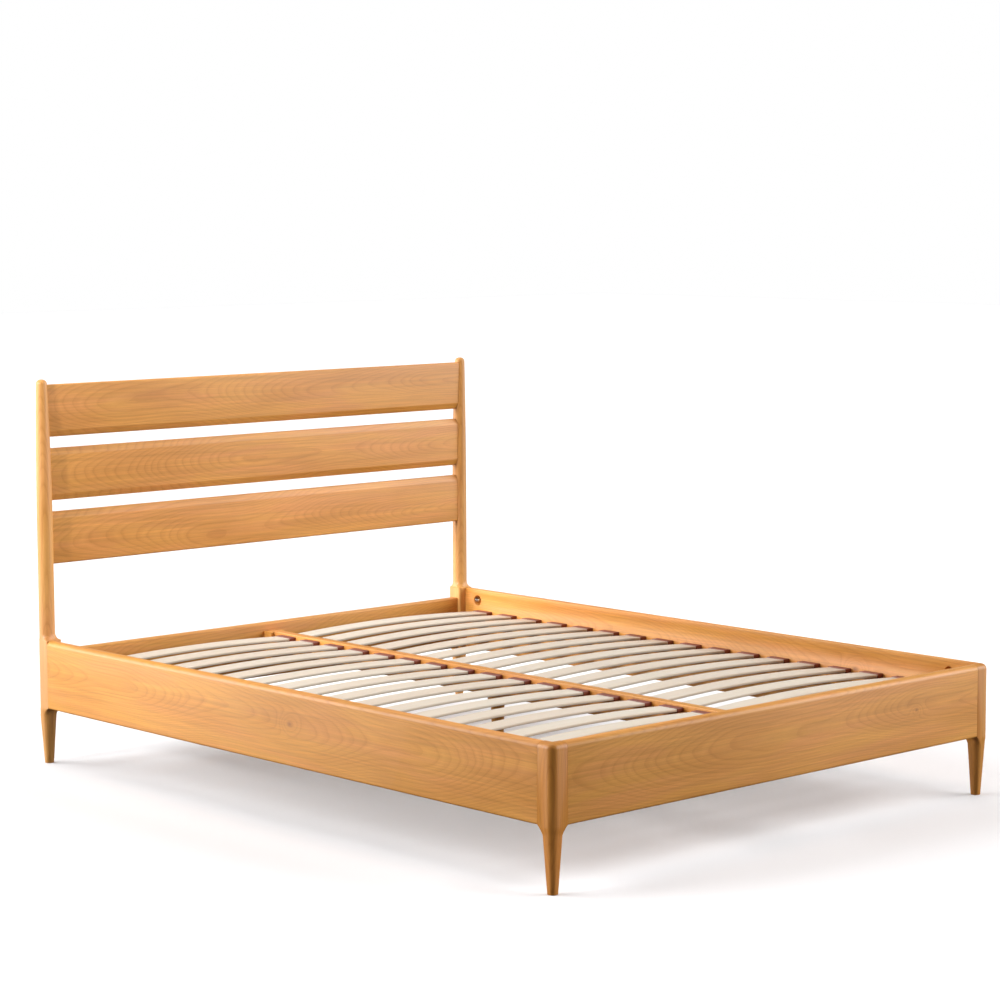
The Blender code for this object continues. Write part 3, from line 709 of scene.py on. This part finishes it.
# side rails with their bolt pockets
# knots as (along, across, radius) from the middle of the rail
SIDE_KNOTS = {"left": ((-0.10, 0.012, 0.006),), "right": ((-0.62, 0.030, 0.007), (-0.85, -0.015, 0.004))}
for side, mirror in SIDES:
    outline = [(-HALF_W + x, z) for x, z in rail_profile()]
    rail = raw_object(f"side_rail_{side}_oak", bar_y(outline, -FOOT_JOINT_Y, HEAD_JOINT_Y, mirror))
    tools = []
    inner_face = mirror * (-HALF_W + RAIL_T)
    hole_x = mirror * (-HALF_W + BOLT_X)
    for end in (-1, 1):
        pocket_y = end * (HALF_L - POCKET_FROM_END)
        places = (inner_face - mirror * POCKET_DEPTH, inner_face + mirror * CUT_OVER)
        tools.append(body([ring("X", (pocket_y, POCKET_Z), POCKET_R, x, 48) for x in places]))
        places = (pocket_y, end * HALF_L)
        tools.append(body([ring("Y", (hole_x, POCKET_Z), BOLT_HOLE_R, y, 24) for y in places]))
    cut(rail, tools)
    soften(rail, RAIL_END_ROUND)
    centre = (mirror * (-HALF_W + RAIL_T / 2), 0.0, (RAIL_BOTTOM + RAIL_TOP) / 2)
    grain = oak_board(f"oak_side_rail_{side}", centre, "Y", pith=(0.02, 0.10), seed=31.0 + 4 * mirror,
                      knots=SIDE_KNOTS[side])
    finish_piece(rail, grain, "oak", f"side_rail_{side}")

# foot rail and head rail
outline = [(-HALF_L + y, z) for y, z in rail_profile()]
rail = raw_object("foot_rail_oak", bar_x(outline, -JOINT_X, JOINT_X))
soften(rail, RAIL_END_ROUND)
centre = (0.0, -HALF_L + RAIL_T / 2, (RAIL_BOTTOM + RAIL_TOP) / 2)
grain = oak_board("oak_foot_rail", centre, "X", pith=(0.01, 0.09), seed=41.0, knots=((0.50, 0.01, 0.004),))
finish_piece(rail, grain, "oak", "foot_rail")

low, high = HEAD_RAIL
outline = rounded_rect(low[1], high[1], low[2], high[2], (RAIL_INNER_ROUND,) * 4)
rail = raw_object("head_rail_oak", bar_x(outline, -JOINT_X, JOINT_X))
soften(rail, RAIL_END_ROUND)
centre = (0.0, (low[1] + high[1]) / 2, (low[2] + high[2]) / 2)
grain = oak_board("oak_head_rail", centre, "X", pith=(0.02, 0.10), seed=47.0)
finish_piece(rail, grain, "oak", "head_rail")

# headboard planks
for i, (name, (plank, bevel_low, bevel_high)) in enumerate(housings.items()):
    outline = plank_profile(plank, bevel_low, bevel_high)
    obj = raw_object(f"headboard_plank_{name}_oak", bar_x(outline, plank[0][0], plank[1][0]))
    soften(obj, PLANK_EDGE_ROUND, 3, PLANK_EDGE_ANGLE)
    centre = (0.0, (plank[0][1] + plank[1][1]) / 2, (plank[0][2] + plank[1][2]) / 2)
    grain = oak_board(f"oak_headboard_plank_{name}", centre, "X", pith=(-0.02 + 0.02 * i, 0.08),
                      seed=52.0 + 5 * i)
    finish_piece(obj, grain, "oak", f"headboard_plank_{name}")

# centre rail, sockets, leg and ledgers
oak_small = oak_board("oak_small_parts", (0.0, 0.0, 0.25), "Y", pith=(0.05, 0.07), seed=71.0)
low, high = CENTRE_RAIL
outline = rounded_rect(low[0], high[0], low[2], high[2], (CENTRE_RAIL_ROUND,) * 4)
rail = raw_object("centre_rail_oak", bar_y(outline, low[1], high[1]))
finish_piece(rail, oak_small, "oak", "centre_rail")
for end in ("foot", "head"):
    box_low, box_high = plain(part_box(f"centre_rail_socket_{end}"))
    slot = CENTRE_RAIL[1][0] + GAP
    floor_z = CENTRE_RAIL[0][2] - GAP
    outline = [(box_low[0], box_low[2]), (box_high[0], box_low[2]), (box_high[0], box_high[2]),
               (slot, box_high[2]), (slot, floor_z), (-slot, floor_z), (-slot, box_high[2]),
               (box_low[0], box_high[2])]
    socket = raw_object(f"centre_rail_socket_{end}_oak", bar_y(outline, box_low[1], box_high[1]))
    soften(socket, SOCKET_ROUND, 3)
    grain = oak_board(f"oak_socket_{end}", (0.0, box_low[1], box_low[2]), "X", pith=(0.06, 0.03), seed=77.0)
    finish_piece(socket, grain, "oak", f"centre_rail_socket_{end}")
for place in ("side_ledger", "centre_ledger"):
    for side, mirror in SIDES:
        node = f"{place}_{side}"
        box_low, box_high = plain(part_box(node))
        outline = rounded_rect(box_low[0], box_high[0], box_low[2], box_high[2], (LEDGER_ROUND,) * 4, 3)
        ledger = raw_object(f"{node}_oak", bar_y(outline, box_low[1], box_high[1]))
        finish_piece(ledger, oak_small, "oak", node)


def centre_leg_profile(collar_r, leg_top):
    """(radius, height) up a turned leg: rounded foot, straight taper, cove, collar."""
    foot = TURNED_FOOT_R
    profile = [(foot - inset, z) for inset, z in TURNED_FOOT_ROUND] + [(foot, TURNED_FOOT_H)]
    taper_h = leg_top - TURNED_COVE_FROM_TOP - TURNED_FOOT_H
    for i in range(1, 9):
        profile.append((foot + TURNED_TAPER * i / 8, TURNED_FOOT_H + taper_h * i / 8))
    for i in range(1, 5):
        swell = TURNED_COVE * (1 - math.cos(math.pi / 2 * i / 4))
        profile.append((foot + TURNED_TAPER + swell, leg_top - TURNED_COVE_FROM_TOP + TURNED_COVE_H * i / 4))
    for i in range(5):
        inset = TURNED_COLLAR_ROUND * (1 - math.sin(math.pi / 2 * i / 4))
        profile.append((collar_r - inset, leg_top - TURNED_COLLAR_H + TURNED_COLLAR_ROUND * i / 4))
    profile.append((collar_r, leg_top))
    return profile


leg_box = plain(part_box("centre_leg"))
profile = centre_leg_profile(leg_box[1][0], leg_box[1][2])
leg = raw_object("centre_leg_oak", body([ring("Z", (0.0, 0.0), r, z, 40) for r, z in profile]))
grain = oak_board("oak_centre_leg", (0.0, 0.0, 0.1), "Z", pith=(0.03, 0.05), seed=81.0)
finish_piece(leg, grain, "oak", "centre_leg")

# ---------------------------------------------------------------- slats and their caps
FIRST = plain(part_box("slat_left_01"))
SECOND = plain(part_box("slat_left_02"))
SLAT_PITCH = FIRST[0][1] - SECOND[0][1]
SLAT_FIRST_Y = FIRST[0][1]
SLAT_WIDTH = FIRST[1][1] - FIRST[0][1]
SLAT_OUTER_X, SLAT_INNER_X = FIRST[0][0], FIRST[1][0]
LEDGER_SIDE_TOP = float(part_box("side_ledger_left")[1][2])
LEDGER_CENTRE_TOP = float(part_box("centre_ledger_left")[1][2])
SLAT_TOP_SIDE = LEDGER_SIDE_TOP + 2 * GAP + CAP_WALL + SLAT_T
SLAT_TOP_CENTRE = LEDGER_CENTRE_TOP + 2 * GAP + CAP_WALL + SLAT_T


def slat_object(name, y0, mirror):
    """A slat bowed upwards, with flat ends in its caps. Its ply value runs from 0 below to 1 on top."""
    steps = 40
    flat = CAP_LENGTH - CAP_WALL
    loops = []
    stations = [(SLAT_OUTER_X, SLAT_TOP_SIDE)]
    for i in range(steps + 1):
        share = i / steps
        x = SLAT_OUTER_X + flat + (SLAT_INNER_X - SLAT_OUTER_X - 2 * flat) * share
        rise = SLAT_CROWN * 4 * share * (1 - share)
        stations.append((x, SLAT_TOP_SIDE + (SLAT_TOP_CENTRE - SLAT_TOP_SIDE) * share + rise))
    stations.append((SLAT_INNER_X, SLAT_TOP_CENTRE))
    for x, top in stations:
        outline = rounded_rect(y0, y0 + SLAT_WIDTH, top - SLAT_T, top, (SLAT_ROUND,) * 4, 4)
        loops.append([(mirror * x, y, z) for y, z in outline])
    obj = raw_object(name, body(loops))
    ply = obj.data.attributes.new("ply", "FLOAT", "POINT")
    per_loop = len(loops[0])
    for i, vertex in enumerate(obj.data.vertices):
        ply.data[i].value = (vertex.co.z - (stations[i // per_loop][1] - SLAT_T)) / SLAT_T
    return obj


birch = birch_slats("birch_slats", SLAT_PITCH, SLAT_FIRST_Y + SLAT_WIDTH / 2)
for side, mirror in SIDES:
    for i in range(SLATS):
        node = f"slat_{side}_{i + 1:02d}"
        slat = slat_object(f"{node}_birch", SLAT_FIRST_Y - SLAT_PITCH * i, mirror)
        finish_piece(slat, birch, "birch", node)


def cap_loops(wall, into, y0, top):
    """A sleeve closed at the wall and open towards the slat."""
    low = top - SLAT_T - GAP - CAP_WALL
    high = top + GAP + CAP_WALL
    side = GAP + CAP_WALL
    outer = rounded_rect(y0 - side, y0 + SLAT_WIDTH + side, low, high, (CAP_ROUND,) * 4, 4)
    small = rounded_rect(y0 - side + CAP_EDGE, y0 + SLAT_WIDTH + side - CAP_EDGE,
                         low + CAP_EDGE, high - CAP_EDGE, (CAP_ROUND - CAP_EDGE,) * 4, 4)
    inner = rounded_rect(y0 - GAP, y0 + SLAT_WIDTH + GAP, low + CAP_WALL, high - CAP_WALL,
                         (SLAT_ROUND,) * 4, 4)
    stations = ((0.0, small), (CAP_EDGE, outer), (CAP_LENGTH - CAP_MOUTH_EDGE, outer), (CAP_LENGTH, small),
                (CAP_LENGTH, inner), (CAP_WALL, inner))
    return [[(wall + into * x, y, z) for y, z in outline] for x, outline in stations]


plastic = moulded_plastic("cap_plastic_brown")
for side, mirror in SIDES:
    for place, wall, into, top in (("side", -HALF_W + RAIL_T + GAP, 1, SLAT_TOP_SIDE),
                                   ("centre", -(CENTRE_RAIL[1][0] + GAP), -1, SLAT_TOP_CENTRE)):
        rows = [SLAT_FIRST_Y - SLAT_PITCH * i for i in range(SLATS)]
        many = [mirrored(cap_loops(wall, into, y0, top), mirror) for y0 in rows]
        row = raw_object(f"slat_caps_{place}_{side}_plastic", bodies(many))
        finish_piece(row, plastic, "cap_plastic", f"slat_caps_{place}_{side}")

# ---------------------------------------------------------------- bed bolts
steel = zinc_steel("zinc_plated_steel")
for side, mirror in SIDES:
    hole_x = mirror * (-HALF_W + BOLT_X)
    centre = (hole_x, POCKET_Z)
    for end, end_name in ((-1, "foot"), (1, "head")):
        pocket_y = end * (HALF_L - POCKET_FROM_END)
        seat_y = pocket_y + end * (math.sqrt(POCKET_R ** 2 - WASHER_R ** 2) - GAP)
        hex_y = seat_y - end * (WASHER_T + HEX_T)
        thread = []
        start_y = hex_y - end * THREAD_STICKS_OUT
        stop_y = end * (HALF_L - BOLT_FROM_END - 2 * GAP)
        for i in range(2 * THREAD_TURNS + 1):
            radius = BOLT_R if i % 2 else BOLT_R - THREAD_DEPTH
            thread_y = start_y + (stop_y - start_y) * i / (2 * THREAD_TURNS)
            thread.append(ring("Y", centre, radius, thread_y, 24))
        washer = [ring("Y", centre, r, seat_y - end * t, 32) for r, t in
                  ((WASHER_R - WASHER_EDGE, 0.0), (WASHER_R, WASHER_EDGE),
                   (WASHER_R, WASHER_T - WASHER_EDGE), (WASHER_R - WASHER_EDGE, WASHER_T))]
        corner_r = HEX_ACROSS / math.sqrt(3)
        hexagon = [ring("Y", centre, r, hex_y + end * t, 6) for r, t in
                   ((corner_r - HEX_CHAMFER, 0.0), (corner_r, HEX_CHAMFER_H), (corner_r, HEX_T))]
        bolt = raw_object(f"bed_bolt_{end_name}_{side}_steel", bodies([thread, washer, hexagon]))
        finish_piece(bolt, steel, "steel", f"bed_bolt_{end_name}_{side}")

# ---------------------------------------------------------------- floor, light and camera
FLOOR_SIZE = 60.0
AMBIENT = 0.28
AMBIENT_BELOW = 0.06
HORIZON = (-0.35, 0.25)    # where the sky's light goes over from below to above, as the ray's height
floor_bm = bmesh.new()
bmesh.ops.create_grid(floor_bm, x_segments=1, y_segments=1, size=FLOOR_SIZE / 2)
floor = raw_object("studio_floor", floor_bm)
paper = Shader("white_floor")
paper.principled.inputs["Base Color"].default_value = FLOOR_WHITE
paper.principled.inputs["Roughness"].default_value = 0.9
paper.principled.inputs["Specular IOR Level"].default_value = 0.1
floor.data.materials.append(paper.material)
floor.visible_diffuse = False
floor.visible_glossy = False

world = bpy.data.worlds.new("studio")
bpy.context.scene.world = world
world.use_nodes = True
backdrop = world.node_tree.nodes["Background"]
backdrop.inputs["Color"].default_value = (1.0, 1.0, 1.0, 1.0)
seen = world.node_tree.nodes.new("ShaderNodeLightPath")
ray = world.node_tree.nodes.new("ShaderNodeTexCoord")
height = world.node_tree.nodes.new("ShaderNodeSeparateXYZ")
world.node_tree.links.new(ray.outputs["Generated"], height.inputs[0])
glow = world.node_tree.nodes.new("ShaderNodeMapRange")
glow.interpolation_type = "SMOOTHSTEP"
glow.inputs["From Min"].default_value = HORIZON[0]
glow.inputs["From Max"].default_value = HORIZON[1]
glow.inputs["To Min"].default_value = AMBIENT_BELOW
glow.inputs["To Max"].default_value = AMBIENT
world.node_tree.links.new(height.outputs["Z"], glow.inputs["Value"])
strength = world.node_tree.nodes.new("ShaderNodeMix")
strength.inputs["B"].default_value = 1.0
world.node_tree.links.new(seen.outputs["Is Camera Ray"], strength.inputs["Factor"])
world.node_tree.links.new(glow.outputs["Result"], strength.inputs["A"])
world.node_tree.links.new(strength.outputs["Result"], backdrop.inputs["Strength"])

CAMERA_YAW = 0.7420
CAMERA_PITCH = 0.1062
CAMERA_ROLL = -0.0040
CAMERA_AT = (-5.0118, -5.4795, 1.5638)
CAMERA_LENS = 98.33
LIGHT_TURN = math.radians(4)    # how far the side lights stand beyond the camera's exact left and right
SOFTBOX_SIZE = 1.2
SOFTBOX_SPREAD = math.radians(20)
SOFTBOX_POWER = 8.3
SOFTBOX_AT = (-5.2, 0.95, 2.6)
SOFTBOX_TARGET = (-0.2, 1.05, 0.78)


def sun(name, side, elevation, spread, strength):
    """A large distant softbox. side is its direction on the floor plane, and the angles are in degrees."""
    data = bpy.data.lights.new(name, "SUN")
    data.energy = strength
    data.angle = math.radians(spread)
    obj = bpy.data.objects.new(name, data)
    bpy.context.scene.collection.objects.link(obj)
    lift = math.radians(elevation)
    towards = Vector((side[0] * math.cos(lift), side[1] * math.cos(lift), math.sin(lift)))
    obj.rotation_euler = towards.to_track_quat("Z", "Y").to_euler()
    return obj


camera_left = (-math.cos(CAMERA_YAW + LIGHT_TURN), math.sin(CAMERA_YAW + LIGHT_TURN))
camera_right = (math.cos(CAMERA_YAW - LIGHT_TURN), -math.sin(CAMERA_YAW - LIGHT_TURN))
sun("light_left", camera_left, elevation=12, spread=58, strength=5.5)
sun("light_right", camera_right, elevation=16, spread=58, strength=4.1)
sun("light_top", (0.0, 1.0), elevation=72, spread=50, strength=1.1)

# a narrow softbox to the left, aimed at the headboard
softbox_data = bpy.data.lights.new("light_headboard", "AREA")
softbox_data.size = SOFTBOX_SIZE
softbox_data.spread = SOFTBOX_SPREAD
softbox_data.energy = SOFTBOX_POWER
softbox = bpy.data.objects.new("light_headboard", softbox_data)
softbox.location = SOFTBOX_AT
softbox_aim = Vector(SOFTBOX_TARGET) - Vector(SOFTBOX_AT)
softbox.rotation_euler = softbox_aim.to_track_quat("-Z", "Y").to_euler()
bpy.context.scene.collection.objects.link(softbox)

camera_data = bpy.data.cameras.new("camera")
camera_data.lens = CAMERA_LENS
camera_data.sensor_width = 36.0
camera_data.clip_end = 200.0
camera = bpy.data.objects.new("camera", camera_data)
bpy.context.scene.collection.objects.link(camera)
turn = (Matrix.Rotation(-CAMERA_YAW, 4, "Z") @ Matrix.Rotation(math.pi / 2 - CAMERA_PITCH, 4, "X")
        @ Matrix.Rotation(CAMERA_ROLL, 4, "Z"))
camera.matrix_world = Matrix.Translation(CAMERA_AT) @ turn
bpy.context.scene.camera = camera
bpy.context.scene.view_settings.view_transform = "Standard"
